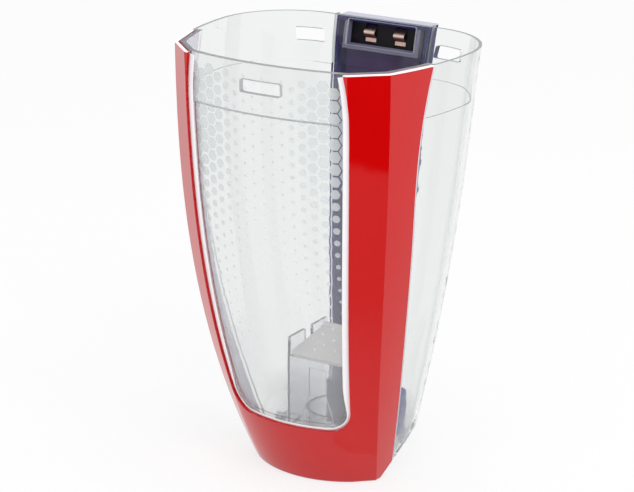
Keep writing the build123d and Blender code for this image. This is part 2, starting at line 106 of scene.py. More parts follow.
def to_linear(code):
    """Linear RGBA of an sRGB hex colour."""
    srgb = np.array([int(code[i:i + 2], 16) for i in (1, 3, 5)]) / 255
    linear = np.where(srgb <= 0.04045, srgb / 12.92, ((srgb + 0.055) / 1.055) ** 2.4)
    return (*linear.tolist(), 1.0)


def add_node(tree, kind, settings=None, values=None, links=None):
    """Add one node: its settings, the values of its sockets, and the outputs that are linked to them."""
    made = tree.nodes.new(kind)
    for key, value in (settings or {}).items():
        setattr(made, key, value)
    for key, value in (values or {}).items():
        made.inputs[key].default_value = value
    for key, output in (links or {}).items():
        tree.links.new(output, made.inputs[key])
    return made


def math_node(tree, operation, first, second=0.0):
    """Result of a sum or test on two outputs or values."""
    ends = dict(enumerate((first, second)))
    values = {key: end for key, end in ends.items() if isinstance(end, (int, float))}
    links = {key: end for key, end in ends.items() if key not in values}
    return add_node(tree, "ShaderNodeMath", {"operation": operation}, values, links).outputs[0]


def all_of(tree, *masks):
    """Product of several masks or shares."""
    return reduce(lambda first, second: math_node(tree, "MULTIPLY", first, second), masks)


def any_of(tree, *masks):
    """Largest of several masks or shares."""
    return reduce(lambda first, second: math_node(tree, "MAXIMUM", first, second), masks)


def ramp(tree, value, start, end, low=0.0, high=1.0):
    """Value that goes from low at start to high at end, and stays there outside."""
    ends = {"From Min": start, "From Max": end, "To Min": low, "To Max": high}
    return add_node(tree, "ShaderNodeMapRange", values=ends, links={"Value": value}).outputs["Result"]


def noise(tree, vector, size, detail):
    """Noise whose features are as large as size, in millimetres, on coordinates in metres."""
    values = {"Scale": 1 / (size * MM), "Detail": detail}
    return add_node(tree, "ShaderNodeTexNoise", values=values, links={"Vector": vector}).outputs["Fac"]


def tones(tree, share, dark, light):
    """Colour between two sRGB tones."""
    made = add_node(tree, "ShaderNodeValToRGB", links={"Fac": share})
    made.color_ramp.elements[0].color = to_linear(dark)
    made.color_ramp.elements[1].color = to_linear(light)
    return made.outputs["Color"]


def blend(tree, share, first, second):
    """Colour that goes from first to second."""
    links = {0: share, 6: first, 7: second}
    return add_node(tree, "ShaderNodeMix", {"data_type": "RGBA"}, links=links).outputs[2]


def relief(tree, height, strength, depth):
    """Normal of a fine relief, depth in millimetres."""
    values = {"Strength": strength, "Distance": depth * MM}
    return add_node(tree, "ShaderNodeBump", values=values, links={"Height": height}).outputs["Normal"]


def mix_shader(tree, share, first, second):
    """Shader that goes from first to second."""
    links = {0: share, 1: first.outputs[0], 2: second.outputs[0]}
    return add_node(tree, "ShaderNodeMixShader", links=links)


def matt(tree, code):
    """Matt white or pale shader."""
    return add_node(tree, "ShaderNodeBsdfDiffuse", values={"Color": to_linear(code)})


def axes(tree, vector):
    """X, Y and Z of a vector."""
    return tuple(add_node(tree, "ShaderNodeSeparateXYZ", links={"Vector": vector}).outputs)


def new_material(name):
    """Empty node material, its tree and the part's own position and normal."""
    material = bpy.data.materials.new(name)
    material.use_nodes = True
    tree = material.node_tree
    tree.nodes.clear()
    place = add_node(tree, "ShaderNodeTexCoord").outputs
    return material, tree, place["Object"], place["Normal"]


def close_material(tree, shader):
    """Link a finished shader to the material's output."""
    add_node(tree, "ShaderNodeOutputMaterial", links={"Surface": shader.outputs[0]})


def node_box(name):
    """Lowest and highest corner of a CAD node's box (metres)."""
    corners = np.array(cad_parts[name].bound_box)
    return corners.min(axis=0), corners.max(axis=0)


def clear_styrene(name, tint, haze, veil, front, framed):
    """Clear injection-moulded SAN: glassy, slightly wavy, with a hazy front and, where framed, matt edges
    and a grey line of painted shade under the collar.

    The haze goes from veil[0] at the foot to veil[1] at the rim and fades out behind the plane y = front.
    """
    material, tree, place, normal = new_material(name)
    scuff = noise(tree, place, 9, 4.0)
    shader = add_node(
        tree, "ShaderNodeBsdfPrincipled",
        values={"Base Color": to_linear(tint), "IOR": 1.43, "Transmission Weight": 1.0},
        links={
            "Roughness": ramp(tree, scuff, 0.35, 0.75, 0.0, haze),
            "Normal": relief(tree, noise(tree, place, 26, 1.0), 1.0, 0.003),
        },
    )
    share = any_of(tree, front_veil(tree, place, veil, front), boss_faces(tree, place))
    if framed:
        share = any_of(tree, share, heel_veil(tree, place))
    shader = mix_shader(tree, share, shader, matt(tree, "#F6F6F9"))
    if framed:
        # Translucent grey: frost on the rim and the collar's slot walls, and painted shade along the
        # collar's lower front edge
        frost_and_shade = add_node(tree, "ShaderNodeBsdfTranslucent", values={"Color": to_linear("#CDD0D2")})
        shader = mix_shader(tree, collar_frost_and_shade_line(tree, place, normal), shader, frost_and_shade)
        shader = mix_shader(tree, frame_edges(tree, place, normal), shader, matt(tree, "#FBF4F5"))
    path = add_node(tree, "ShaderNodeLightPath").outputs
    unbent = any_of(tree, path["Is Shadow Ray"], path["Is Diffuse Ray"])
    through = add_node(tree, "ShaderNodeBsdfTransparent", values={"Color": to_linear(tint)})
    close_material(tree, mix_shader(tree, unbent, shader, through))
    return material


def front_veil(tree, place, veil, front):
    """Share of haze: from veil[0] at the foot to veil[1] at the rim, none behind the plane y = front."""
    x, y, z = axes(tree, place)
    level = ramp(tree, z, 0.0, cad_box[1].z, *veil)
    return all_of(tree, level, ramp(tree, y, front, front + 12 * MM, 1.0, 0.0))


def boss_faces(tree, place):
    """1 on the frosted bosses and ears round the hood's screws, 0 elsewhere."""
    low, high = node_box("hood_screws")
    x, y, z = axes(tree, place)
    half = math_node(tree, "ABSOLUTE", x)
    aside = math_node(tree, "SUBTRACT", half, high[0] - SCREW_HEAD_RADIUS * MM)
    along = math_node(tree, "SUBTRACT", y, (low[1] + high[1]) / 2)
    square = math_node(tree, "ADD", all_of(tree, aside, aside), all_of(tree, along, along))
    near = math_node(tree, "LESS_THAN", square, (BOSS_RADIUS * MM) ** 2)
    return all_of(tree, near, math_node(tree, "LESS_THAN", z, high[2]))


def heel_veil(tree, place):
    """Share of haze on the cup's heel: it grows downwards, backwards and away from the rail."""
    x, y, z = axes(tree, place)
    half = math_node(tree, "ABSOLUTE", x)
    ways = ((z, 34, 8), (y, 0, 20), (half, 18, 30))
    return all_of(tree, HEEL_HAZE, *(ramp(tree, way, start * MM, end * MM) for way, start, end in ways))


def collar_frost_and_shade_line(tree, place, normal):
    """1 on the rim, on the walls of the collar's openings and along its front lower edge, 0 elsewhere. The
    band along the lower edge is painted shade of the collar's step.
    """
    x, y, z = axes(tree, place)
    to_x, to_y, to_z = axes(tree, normal)
    foot = cad_box[1].z - COLLAR_HEIGHT * MM
    ahead = math_node(tree, "LESS_THAN", y, cad_box[0].y + 16 * MM)
    astern = math_node(tree, "GREATER_THAN", y, 20 * MM)
    slot = all_of(
        tree,
        math_node(tree, "LESS_THAN", math_node(tree, "ABSOLUTE", to_y), 0.4),
        math_node(tree, "GREATER_THAN", z, foot),
        math_node(tree, "LESS_THAN", math_node(tree, "ABSOLUTE", x), COLLAR_FLAT_HALF * MM),
        any_of(tree, ahead, astern),
    )
    rim = all_of(
        tree,
        math_node(tree, "GREATER_THAN", to_z, 0.5),
        math_node(tree, "GREATER_THAN", z, cad_box[1].z - RIM_EDGE * MM),
    )
    # Painted shade: a thin band along the collar's lower front edge, drawn as the step's dark line
    off_edge = math_node(tree, "ABSOLUTE", math_node(tree, "SUBTRACT", z, foot))
    line = all_of(
        tree,
        ahead,
        math_node(tree, "LESS_THAN", off_edge, COLLAR_SHADE_LINE / 2 * MM),
        math_node(tree, "LESS_THAN", to_y, -0.5),
    )
    return any_of(tree, slot, rim, line)


def rim_faces():
    """Outward directions, in plan, of a post's two faces at the rim, and their distances in millimetres.

    The front face runs from the shoulder to the crease, the side face from there to the post's rear edge.
    """
    front = cad_box[0].y / MM - COLLAR_RELIEF
    wide = (RIM_CREASE_HALF**2 + RIM_CREASE_SETBACK**2) / (2 * RIM_CREASE_SETBACK)
    shoulder_half = SHOULDER_SHARE * RIM_CREASE_HALF
    setback = wide - math.sqrt(wide**2 - shoulder_half**2) - RIM_SQUARENESS
    shoulder = np.array([shoulder_half, front + setback])
    crease = np.array([RIM_CREASE_HALF, front + RIM_CREASE_SETBACK])
    rear = np.array([POST_REAR_HALF, front + POST_REAR_SETBACK])
    runs = np.stack([crease - shoulder, rear - crease])
    runs /= np.linalg.norm(runs, axis=1, keepdims=True)
    outward = np.stack([runs[:, 1], -runs[:, 0]], -1)
    return outward, outward @ crease


def frame_edges(tree, place, normal):
    """1 on the rim's lip above the red posts and on the step behind them, 0 elsewhere.

    The step faces forward between the plane y = 2 mm and a line that comes forward from the foot upwards.
    The lip counts where it lies less than its width inside a post's front or side face.
    """
    x, y, z = axes(tree, place)
    to_x, to_y, to_z = axes(tree, normal)
    half = math_node(tree, "ABSOLUTE", x)
    step = all_of(
        tree,
        math_node(tree, "LESS_THAN", to_y, -0.85),
        math_node(tree, "GREATER_THAN", y, ramp(tree, z, 0.0, 70 * MM, -9 * MM, -35 * MM)),
        math_node(tree, "LESS_THAN", y, 2 * MM),
        math_node(tree, "GREATER_THAN", half, 0.9 * FOOT_CREASE_HALF * MM),
    )
    plan = add_node(tree, "ShaderNodeCombineXYZ", links={"X": half, "Y": y}).outputs["Vector"]
    near = []
    for outward, distance in zip(*rim_faces()):
        reach = add_node(
            tree, "ShaderNodeVectorMath", {"operation": "DOT_PRODUCT"}, {1: (*outward, 0.0)}, {0: plan},
        )
        near.append(math_node(tree, "GREATER_THAN", reach.outputs["Value"], (distance - LIP_WIDTH) * MM))
    rear = cad_box[0].y + (POST_REAR_SETBACK - COLLAR_RELIEF) * MM
    lip = all_of(
        tree,
        any_of(tree, *near),
        math_node(tree, "GREATER_THAN", z, cad_box[1].z - (RIM_EDGE + 0.02) * MM),
        math_node(tree, "LESS_THAN", y, rear),
        math_node(tree, "GREATER_THAN", half, WINDOW_RIM_HALF * MM),
    )
    return any_of(tree, step, lip)


def red_abs():
    """Glossy red moulded ABS: deep colour under a polished skin with faint flow marks, and a pale lilac
    back that is painted shading, for the tone the back shows through the clear cup.
    """
    material, tree, place, normal = new_material("red_gloss_abs")
    shader = add_node(
        tree, "ShaderNodeBsdfPrincipled", values={"Roughness": 0.06, "IOR": 1.52},
        links={
            "Base Color": tones(tree, noise(tree, place, 34, 3.0), "#BC0203", "#C40304"),
            "Normal": relief(tree, noise(tree, place, 1.6, 2.0), 0.2, 0.01),
        },
    )
    # Painted shading: the frame's back turns pale lilac matt
    close_material(tree, mix_shader(tree, painted_shading_back(tree, place, normal), shader, matt(tree, "#F0E6F8")))
    return material


def painted_shading_back(tree, place, normal):
    """1 on the back of the frame, which lies on the cup, 0 elsewhere. There the red gives way to a pale
    lilac matt: painted shading for the tone seen through the clear cup.
    """
    x, y, z = axes(tree, place)
    to_x, to_y, to_z = axes(tree, normal)
    outward = all_of(tree, to_x, math_node(tree, "SIGN", x))
    inside = math_node(tree, "LESS_THAN", outward, 0.1)
    return all_of(tree, inside, math_node(tree, "GREATER_THAN", to_y, 0.06))


def moulded_plastic(name, dark, light, grain, rough, gloss=0.5, foot=None, top_highlight=None):
    """Opaque moulded plastic with a fine spark-eroded grain and a slight mottle.

    Gloss is its specular level. A foot gives the two tones of the lower end and the heights (mm) between
    which they turn into the upper ones. A cap gives a pale tone painted as a highlight on the upward faces
    at the top.
    """
    material, tree, place, normal = new_material(name)
    mottle = noise(tree, place, 14, 5.0)
    colour = tones(tree, mottle, dark, light)
    z = axes(tree, place)[2]
    if foot:
        low_dark, low_light, low, high = foot
        level = ramp(tree, z, low * MM, high * MM)
        colour = blend(tree, level, tones(tree, mottle, low_dark, low_light), colour)
    # Painted highlight: upward faces near the top take a pale tone
    if top_highlight:
        upward = math_node(tree, "GREATER_THAN", axes(tree, normal)[2], 0.8)
        top = math_node(tree, "GREATER_THAN", z, cad_box[1].z - TOP_HIGHLIGHT_REACH * MM)
        colour = blend(tree, all_of(tree, upward, top), colour, tones(tree, mottle, top_highlight, top_highlight))
    shader = add_node(
        tree, "ShaderNodeBsdfPrincipled", values={"IOR": 1.5, "Specular IOR Level": gloss},
        links={
            "Base Color": colour, "Roughness": ramp(tree, mottle, 0.0, 1.0, *rough),
            "Normal": relief(tree, noise(tree, place, grain, 2.0), 0.35, 0.02),
        },
    )
    close_material(tree, shader)
    return material


def milky_polypropylene():
    """Natural polypropylene of the flap: milky and half translucent, with a dull skin."""
    material, tree, place, normal = new_material("milky_polypropylene")
    shader = add_node(
        tree, "ShaderNodeBsdfPrincipled",
        values={"Roughness": 0.42, "IOR": 1.49, "Transmission Weight": 0.25},
        links={"Base Color": tones(tree, noise(tree, place, 11, 4.0), "#F1E9E8", "#F8F3F3")},
    )
    close_material(tree, shader)
    return material


def metal(name, dark, light, line, rough):
    """Bare metal with fine rolling lines along its length."""
    material, tree, place, normal = new_material(name)
    stretch = add_node(
        tree, "ShaderNodeMapping", values={"Scale": (1.0, 1.0, 0.06)}, links={"Vector": place},
    )
    lines = noise(tree, stretch.outputs["Vector"], line, 3.0)
    shader = add_node(
        tree, "ShaderNodeBsdfPrincipled", values={"Metallic": 1.0},
        links={
            "Base Color": tones(tree, lines, dark, light),
            "Roughness": ramp(tree, lines, 0.0, 1.0, *rough),
        },
    )
    close_material(tree, shader)
    return material


def frosted_ink():
    """Screen-printed frosting: a thin grey-white ink that dims what lies behind it."""
    material, tree, place, normal = new_material("frosted_ink")
    shader = add_node(
        tree, "ShaderNodeBsdfPrincipled", values={"Roughness": 0.6, "Alpha": 0.5},
        links={"Base Color": tones(tree, noise(tree, place, 1.2, 3.0), "#EDEEF2", "#F6F7FA")},
    )
    close_material(tree, shader)
    return material


def seen_rays(tree):
    """1 for rays of the camera, of a gloss or through a clear wall, 0 for the rest."""
    path = add_node(tree, "ShaderNodeLightPath").outputs
    return any_of(tree, path["Is Camera Ray"], path["Is Glossy Ray"], path["Is Transmission Ray"])


def white_paper(white):
    """Seamless white paper: matte, and lit evenly where the camera, a gloss or a clear wall sees it."""
    material, tree, place, normal = new_material("white_paper")
    fibre = tones(tree, noise(tree, place, 5, 3.0), "#F4F4F4", "#FAFAFA")
    paper = add_node(tree, "ShaderNodeBsdfDiffuse", links={"Color": fibre})
    glow = add_node(tree, "ShaderNodeEmission", values={"Color": to_linear("#FFFFFF"), "Strength": 1.0})
    close_material(tree, mix_shader(tree, all_of(tree, seen_rays(tree), white), paper, glow))
    return material


def graded_felt(stage):
    """Felt of the card: pale by the bin, grey further out, black from flag_near on; with a fine nap."""
    material, tree, place, normal = new_material("graded_felt")
    reach = add_node(tree, "ShaderNodeVectorMath", {"operation": "LENGTH"}, links={0: place})
    nap = math_node(tree, "SUBTRACT", noise(tree, place, 1.5, 2.0), 0.5)
    ragged = math_node(tree, "ADD", reach.outputs["Value"], all_of(tree, nap, 0.01))
    share = math_node(tree, "DIVIDE", ragged, stage.flag_far)
    colour = add_node(tree, "ShaderNodeValToRGB", links={"Fac": share})
    shades = colour.color_ramp.elements
    near = stage.flag_near / stage.flag_far
    shades[0].position = stage.flag_start / stage.flag_far
    shades[0].color = to_linear("#F0F0F0")
    shades[1].position = near
    shades[1].color = to_linear("#050505")
    shades.new(0.4 * near).color = to_linear("#A8A8A8")
    shades.new(0.96 * near).color = to_linear("#A0A0A0")
    close_material(tree, add_node(tree, "ShaderNodeBsdfDiffuse", links={"Color": colour.outputs["Color"]}))
    return material


def smooth_group(angle):
    """Modifier tree that merges doubled points and shades smooth, apart from edges sharper than angle."""
    tree = bpy.data.node_groups.new("smooth_moulding", "GeometryNodeTree")
    tree.interface.new_socket("Geometry", in_out="INPUT", socket_type="NodeSocketGeometry")
    tree.interface.new_socket("Geometry", in_out="OUTPUT", socket_type="NodeSocketGeometry")
    start = add_node(tree, "NodeGroupInput")
    merged = add_node(
        tree, "GeometryNodeMergeByDistance", values={"Distance": 0.002 * MM},
        links={"Geometry": start.outputs[0]},
    )
    smooth = add_node(
        tree, "GeometryNodeSetShadeSmooth", {"domain": "FACE"}, links={"Geometry": merged.outputs[0]},
    )
    fold = add_node(tree, "GeometryNodeInputMeshEdgeAngle")
    sharp = add_node(
        tree, "FunctionNodeCompare", {"operation": "GREATER_THAN"}, {"B": angle},
        {"A": fold.outputs["Unsigned Angle"]},
    )
    creased = add_node(
        tree, "GeometryNodeSetShadeSmooth", {"domain": "EDGE"}, {"Shade Smooth": False},
        {"Geometry": smooth.outputs[0], "Selection": sharp.outputs["Result"]},
    )
    add_node(tree, "NodeGroupOutput", links={0: creased.outputs[0]})
    return tree


def finish_node(name, material):
    """Give a node of the frame its material and smooth shading."""
    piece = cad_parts[name]
    piece.data.materials.clear()
    piece.data.materials.append(material)
    tree = bpy.data.node_groups.get("smooth_moulding") or smooth_group(math.radians(24))
    piece.modifiers.new("smooth_moulding", "NODES").node_group = tree
    return piece


def new_piece(name, points, faces, material, body="bin"):
    """Mesh piece from whole arrays of points (metres) and faces, riding on a body."""
    mesh = bpy.data.meshes.new(name)
    mesh.from_pydata(points.reshape(-1, 3), [], faces.tolist())
    mesh.materials.append(material)
    piece = bpy.data.objects.new(name, mesh)
    bpy.context.scene.collection.objects.link(piece)
    if body:
        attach(piece, body)
    return piece


def front_arc(z):
    """Centre line and radius of the bowed front at height z: the circle through its nose and two shoulders.

    A shoulder stands at a share of the crease's half width, before the circle through nose and creases by
    a squareness that fades out from the rim to the foot.
    """
    fall = np.clip(1 - z * MM / cad_box[1].z, 0, 1)
    half = RIM_CREASE_HALF + (FOOT_CREASE_HALF - RIM_CREASE_HALF) * fall ** CREASE_POWER
    nose = FOOT_NOSE_SETBACK * fall ** NOSE_POWER
    crease = RIM_CREASE_SETBACK + (FOOT_CREASE_SETBACK - RIM_CREASE_SETBACK) * fall ** NOSE_POWER
    sagitta = crease - nose
    wide = (half**2 + sagitta**2) / (2 * sagitta)
    shoulder = SHOULDER_SHARE * half
    drop = wide - np.sqrt(wide**2 - shoulder**2) - RIM_SQUARENESS * (1 - fall**SQUARE_POWER)
    radius = (shoulder**2 + drop**2) / (2 * drop)
    return cad_box[0].y / MM - COLLAR_RELIEF + nose + radius, radius


def front_point(along, z, inset):
    """Point of the bowed front, drawn in by inset: along is the arc length from the middle."""
    centre, radius = front_arc(z)
    bow = radius - inset
    turn = along / bow
    return np.stack([bow * np.sin(turn), centre - bow * np.cos(turn), z], -1) * MM


def arc_points(centre, radius, start, end, count):
    """Points on a circle from one angle up to, but not at, another."""
    turn = np.linspace(start, end, count, endpoint=False)
    return centre + radius * np.stack([np.cos(turn), np.sin(turn)], -1)


def turn_of(offset):
    """Angle of a vector against the first axis."""
    return math.atan2(offset[1], offset[0])


def window_outline():
    """Outline of the window in front view (mm), from the rim's right end round the sill to its left end.

    The side is the circle through foot, waist and shoulder. Above the shoulder, an arc tangent to it runs
    to the rim. Below, a round corner that touches side and sill leads into the level sill.
    """
    height = cad_box[1].z / MM
    foot = np.array([WINDOW_FOOT_HALF, WINDOW_SILL])
    waist = np.array([WINDOW_WAIST_HALF, WINDOW_WAIST])
    shoulder = np.array([WINDOW_SHOULDER_HALF, height - WINDOW_SHOULDER_DROP])
    rim = np.array([WINDOW_RIM_HALF, height])
    chords = 2 * np.stack([waist - foot, shoulder - foot])
    centre = np.linalg.solve(chords, [waist @ waist - foot @ foot, shoulder @ shoulder - foot @ foot])
    radius = np.linalg.norm(foot - centre)
    inward = (centre - shoulder) / radius
    reach = rim - shoulder
    flare_radius = reach @ reach / (2 * inward @ reach)
    flare_centre = shoulder + inward * flare_radius
    corner_z = WINDOW_SILL + WINDOW_CORNER
    corner_x = centre[0] + math.sqrt((radius - WINDOW_CORNER) ** 2 - (corner_z - centre[1]) ** 2)
    corner = np.array([corner_x, corner_z])
    touch = turn_of(corner - centre)
    sill = np.stack([np.linspace(corner_x, 0, 13), np.full(13, WINDOW_SILL)], -1)
    flare_start, flare_end = turn_of(rim - flare_centre), turn_of(shoulder - flare_centre)
    right = np.concatenate([
        arc_points(flare_centre, flare_radius, flare_start, flare_end, 24),
        arc_points(centre, radius, turn_of(shoulder - centre), touch, 80),
        arc_points(corner, WINDOW_CORNER, touch, -math.pi / 2, 20),
        sill,
    ])
    left = right[-2::-1] * np.array([-1, 1])
    return np.concatenate([right, left])


def bead_strip(sizes):
    """Frosted bead: a flat crowned profile carried along the window's outline, on the bowed front.

    A point lies inwards of the outline by a share of the bead's width, which narrows towards the sill.
    """
    path = window_outline()
    path = path[path[:, 1] < cad_box[1].z / MM - RIM_EDGE]
    along = np.gradient(path, axis=0)
    along /= np.linalg.norm(along, axis=1, keepdims=True)
    inward = np.stack([along[:, 1], -along[:, 0]], -1)
    climb = np.clip((path[:, 1] - WINDOW_SILL) / (2 * WINDOW_CORNER), 0, 1)
    foot, side = sizes.bead_foot_width / MM, sizes.bead_width / MM
    width = foot + (side - foot) * climb * climb * (3 - 2 * climb)
    share = np.array([0, 0.15, 0.5, 0.85, 1, 1, 0])
    inset = BEAD_FACE - np.array([0.05, 0.18, 0.25, 0.18, 0.05, 0.02, 0.02])
    reach = BEAD_GAP + width[:, None] * share
    x = path[:, :1] + inward[:, :1] * reach
    z = path[:, 1:] + inward[:, 1:] * reach
    centre, radius = front_arc(z)
    y = centre - np.sqrt((radius - inset) ** 2 - x**2)
    points = np.stack([x, y, z], -1) * MM
    rows, ring = len(path), len(share)
    row, column = np.meshgrid(np.arange(rows - 1), np.arange(ring), indexing="ij")
    following = (column + 1) % ring
    corners = [row * ring + column, row * ring + following,
               (row + 1) * ring + following, (row + 1) * ring + column]
    walls = np.stack(corners, -1).reshape(-1, 4).tolist()
    caps = [np.arange(ring)[::-1].tolist(), ((rows - 1) * ring + np.arange(ring)).tolist()]
    return points, np.array(walls + caps, dtype=object)


def honeycomb(sizes):
    """Thin cells on a hexagonal grid over the window's inner face.

    Columns stand a pitch times the root of three quarters apart, every other one half a pitch lower. The
    outline of a cell is a hexagon that turns into a circle as it shrinks, downwards and to the middle.
    """
    pitch, cell = sizes.pitch / MM, sizes.cell / MM
    top, full, fade = sizes.top / MM, sizes.full_height / MM, sizes.fade_height / MM
    step = pitch * math.sqrt(0.75)
    columns = np.arange(-8, 9)
    rows = np.arange(0, 24)
    column, row = np.meshgrid(columns, rows, indexing="ij")
    along = column * step
    z = top - (row + 0.5 * (column % 2)) * pitch
    rise = np.clip((z - fade) / (full - fade), 0, 1)
    size = 0.2 + 0.8 * rise**1.6
    side = np.clip((np.abs(along) - 6) / 26, 0, 1)
    size = size * (0.26 + 0.74 * side * side * (3 - 2 * side))
    keep = z > fade - pitch
    along, z, size = along[keep], z[keep], size[keep]
    turn = np.arange(12) * math.pi / 6
    hexagon = 1 / np.cos((turn + math.pi / 6) % (math.pi / 3) - math.pi / 6)
    roundness = np.clip((1 - size) / 0.5, 0, 1)[:, None]
    reach = 0.5 * cell * size[:, None] * ((1 - roundness) * hexagon + roundness)
    edge_along = along[:, None] + reach * np.cos(turn + math.pi / 6)
    edge_z = z[:, None] + reach * np.sin(turn + math.pi / 6)
    ink = sizes.ink / MM
    near = CUP_INNER_INSET + 0.15
    layers = [front_point(edge_along, edge_z, near + depth) for depth in (0, ink)]
    points = np.stack(layers, 1)
    count = len(along)
    ring = np.arange(12)
    base = (np.arange(count) * 24)[:, None]
    following = (ring + 1) % 12
    walls = np.stack([base + ring, base + 12 + ring, base + 12 + following, base + following], -1)
    front = base + ring
    back = base + 12 + ring[::-1]
    faces = walls.reshape(-1, 4).tolist() + front.tolist() + back.tolist()
    return points, np.array(faces, dtype=object)


def add_floor(stage):
    """Paper floor: a disc on rings whose radius grows evenly from the middle to the rim."""
    rings, spokes = 12, 72
    radius = stage.floor_radius * (np.arange(1, rings + 1) / rings)[:, None]
    turn = np.arange(spokes) * 2 * math.pi / spokes
    points = np.stack([radius * np.cos(turn), radius * np.sin(turn), np.zeros((rings, spokes))], -1)
    ring, spoke = np.meshgrid(np.arange(rings - 1), np.arange(spokes), indexing="ij")
    following = (spoke + 1) % spokes
    corners = [ring * spokes + spoke, (ring + 1) * spokes + spoke,
               (ring + 1) * spokes + following, ring * spokes + following]
    quads = np.stack(corners, -1).reshape(-1, 4)
    faces = quads.tolist() + [np.arange(spokes).tolist()]
    paper = white_paper(stage.floor_white)
    floor = new_piece("paper_floor", points, np.array(faces, dtype=object), paper, None)


def add_flag(stage):
    """Card on the floor in front, out of the picture: a fan whose rows widen from its near to its far end.

    Only glossy faces see it, so the front of the red posts keeps its full colour above and some below.
    """
    rows = np.linspace(stage.flag_start, stage.flag_far, 33)[:, None, None]
    across = np.linspace(-0.5, 0.5, 9)[:, None] * stage.flag_width
    ahead = np.array([math.sin(stage.flag_turn), -math.cos(stage.flag_turn)])
    aside = np.array([ahead[1], -ahead[0]])
    spread = rows * (ahead - across * aside)
    points = np.concatenate([spread, np.full((33, 9, 1), 2 * MM)], -1)
    row, column = np.meshgrid(np.arange(32), np.arange(8), indexing="ij")
    corner = row * 9 + column
    faces = np.stack([corner, corner + 9, corner + 10, corner + 1], -1).reshape(-1, 4)
    card = new_piece("graded_card", points, faces, graded_felt(stage), None)
    card.visible_camera = False
    card.visible_diffuse = False
    card.visible_transmission = False
    card.visible_shadow = False


def add_light(scene, stage):
    """Even light from all round, white to what sees it, and one large soft lamp from the upper right."""
    world = bpy.data.worlds.new("studio")
    world.use_nodes = True
    tree = world.node_tree
    tree.nodes.clear()
    strength = ramp(tree, seen_rays(tree), 0.0, 1.0, stage.world_strength, 1.0)
    sky = add_node(
        tree, "ShaderNodeBackground", values={"Color": to_linear("#FFFFFF")},
        links={"Strength": strength},
    )
    add_node(tree, "ShaderNodeOutputWorld", links={"Surface": sky.outputs[0]})
    scene.world = world
    lamp = bpy.data.lights.new("key_softbox", "AREA")
    lamp.shape = "RECTANGLE"
    lamp.size = 0.9
    lamp.size_y = 0.9
    lamp.energy = stage.key_power
    key = bpy.data.objects.new("key_softbox", lamp)
    key.location = (0.9, -0.5, 1.1)
    aim = Vector((0, 0, cad_box[1].z / 2)) - key.location
    key.rotation_euler = aim.to_track_quat("-Z", "Y").to_euler()
    scene.collection.objects.link(key)


def add_camera(scene, stage):
    """Camera on a sphere about the bin's middle, framed like the photograph."""
    data = bpy.data.cameras.new("photo_camera")
    data.lens = stage.lens
    data.sensor_width = 36.0
    data.shift_x = -0.0021
    data.shift_y = 0.0138
    data.clip_start = 0.05
    data.clip_end = 20.0
    camera = bpy.data.objects.new("photo_camera", data)
    target = Vector((0, cad_box[0].y + (51.8 - COLLAR_RELIEF) * MM, 109.6 * MM))
    level = math.cos(stage.elevation)
    back = Vector((
        math.sin(stage.azimuth) * level, -math.cos(stage.azimuth) * level, math.sin(stage.elevation),
    ))
    camera.location = target + back * stage.distance
    camera.rotation_euler = (-back).to_track_quat("-Z", "Y").to_euler()
    scene.collection.objects.link(camera)
    scene.camera = camera


class DustBinPrintSettings(bpy.types.PropertyGroup):
    """Sizes of the honeycomb print inside the window and of the frosted bead round it."""

    bead_width: FloatProperty(
        name="Bead width", description="Width of the frosted bead beside the posts", default=3.4 * MM,
        unit="LENGTH",
    )
    bead_foot_width: FloatProperty(
        name="Bead foot width", description="Width of the frosted bead along the sill", default=1.3 * MM,
        unit="LENGTH",
    )
    pitch: FloatProperty(
        name="Pitch", description="Distance between stacked cells", default=5.92 * MM, unit="LENGTH",
    )
    cell: FloatProperty(
        name="Cell", description="Width across the flats of a full cell", default=5.35 * MM, unit="LENGTH",
    )
    top: FloatProperty(
        name="Top", description="Height of the uppermost cells", default=207 * MM, unit="LENGTH",
    )
    full_height: FloatProperty(
        name="Full height", description="Height above which cells are full", default=170 * MM,
        unit="LENGTH",
    )
    fade_height: FloatProperty(
        name="Fade height", description="Height where the cells have shrunk to dots", default=80 * MM,
        unit="LENGTH",
    )
    ink: FloatProperty(
        name="Ink", description="Thickness of the printed layer", default=0.06 * MM, unit="LENGTH",
    )


class DustBinStageSettings(bpy.types.PropertyGroup):
    """Camera and studio."""

    azimuth: FloatProperty(
        name="Azimuth", description="Camera's turn round the bin", default=math.radians(32.58),
        subtype="ANGLE",
    )
    elevation: FloatProperty(
        name="Elevation", description="Camera's height above the horizon", default=math.radians(18.83),
        subtype="ANGLE",
    )
    distance: FloatProperty(
        name="Distance", description="Camera to the bin's middle", default=1.04, unit="LENGTH",
    )
    lens: FloatProperty(name="Lens", description="Focal length in millimetres", default=122.23)
    floor_radius: FloatProperty(
        name="Floor radius", description="Reach of the paper floor", default=3.0, unit="LENGTH",
    )
    floor_white: FloatProperty(
        name="Floor white", description="How evenly white the floor looks", default=0.75, subtype="FACTOR",
    )
    world_strength: FloatProperty(
        name="World strength", description="Light from all round", default=0.9,
    )
    key_power: FloatProperty(name="Key power", description="Power of the large soft lamp", default=7.0)
    flag_turn: FloatProperty(
        name="Flag turn", description="Direction of the card from the bin", default=math.radians(50),
        subtype="ANGLE",
    )
    flag_start: FloatProperty(
        name="Flag start", description="Near end of the card, where it is pale", default=0.05,
        unit="LENGTH",
    )
    flag_near: FloatProperty(
        name="Flag near", description="Where the card turns black", default=0.5, unit="LENGTH",
    )
    flag_far: FloatProperty(
        name="Flag far", description="Far end of the card", default=1.6, unit="LENGTH",
    )
    flag_width: FloatProperty(
        name="Flag width", description="Width of the card a metre out", default=0.8, unit="LENGTH",
    )


